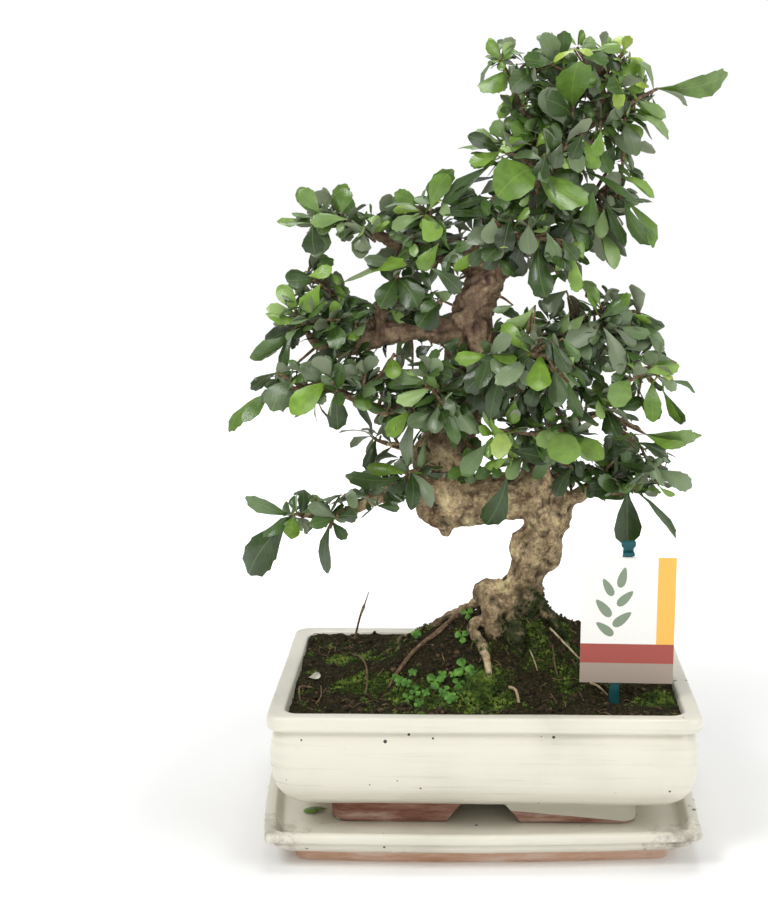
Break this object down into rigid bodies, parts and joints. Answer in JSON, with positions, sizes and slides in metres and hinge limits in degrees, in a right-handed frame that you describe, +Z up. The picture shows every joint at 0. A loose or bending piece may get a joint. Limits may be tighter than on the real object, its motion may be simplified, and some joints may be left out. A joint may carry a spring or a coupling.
{
  "type": "fukien tea bonsai in a glazed pot on a saucer",
  "caption": "Small potted bonsai tree with a bent trunk, surface roots and toothed leaves, in a rectangular glazed ceramic pot standing on its saucer, with a plant tag.",
  "frame": {"origin": "centre of the saucer's flat underside, the face that the whole thing stands on", "axes": "+Z up along the tree, +X to the right seen from the front, +Y away from the front, where the tag stands"},
  "size_m": [0.3533, 0.2352, 0.5693],
  "materials": {
    "glaze": "cream glaze, glossy, with small pits, chips and bare reddish clay at the feet",
    "soil": "damp dark potting soil with moss and bits of bark",
    "bark": "rough grey-brown bark, fissured and lumpy",
    "leaf": "dark green leathery leaves, glossy above and paler below",
    "mesh": "dark plastic drain mesh",
    "card": "coated printed card, slightly glossy",
    "stake": "moulded teal-green plastic",
    "twig": "dry dead twig"
  },
  "bodies": {
    "root": {"saucer": "glaze", "pot": "glaze", "soil": "soil", "drain_mesh_left": "mesh", "drain_mesh_right": "mesh", "trunk": "bark", "label_card": "card", "label_stake": "stake", "dead_twig": "twig", "fallen_leaf": "leaf", "sprig_back_crown": "leaf", "sprig_back_crown_left": "leaf", "sprig_back_left_arm": "leaf", "sprig_back_low_left": "leaf", "sprig_back_low_right": "leaf", "sprig_back_middle_left": "leaf", "sprig_back_middle_right": "leaf", "sprig_back_right_arm": "leaf", "sprig_back_top": "leaf", "sprig_back_upper_left": "leaf", "sprig_back_upper_right": "leaf", "sprig_centre": "leaf", "sprig_crown_left": "leaf", "sprig_crown_right": "leaf", "sprig_crown_top": "leaf", "sprig_front_left": "leaf", "sprig_front_right": "leaf", "sprig_left_fork": "leaf", "sprig_left_low_inner": "leaf", "sprig_left_low_tip": "leaf", "sprig_left_middle": "leaf", "sprig_left_tip": "leaf", "sprig_left_top": "leaf", "sprig_low_front": "leaf", "sprig_low_left_inner": "leaf", "sprig_low_left_middle": "leaf", "sprig_low_left_tip": "leaf", "sprig_low_right": "leaf", "sprig_low_right_tip": "leaf", "sprig_middle_right": "leaf", "sprig_right": "leaf", "sprig_right_shelf": "leaf", "sprig_upper_front": "leaf", "sprig_upper_left": "leaf", "sprig_upper_left_inner": "leaf", "sprig_upper_right": "leaf"}
  },
  "joints": []
}
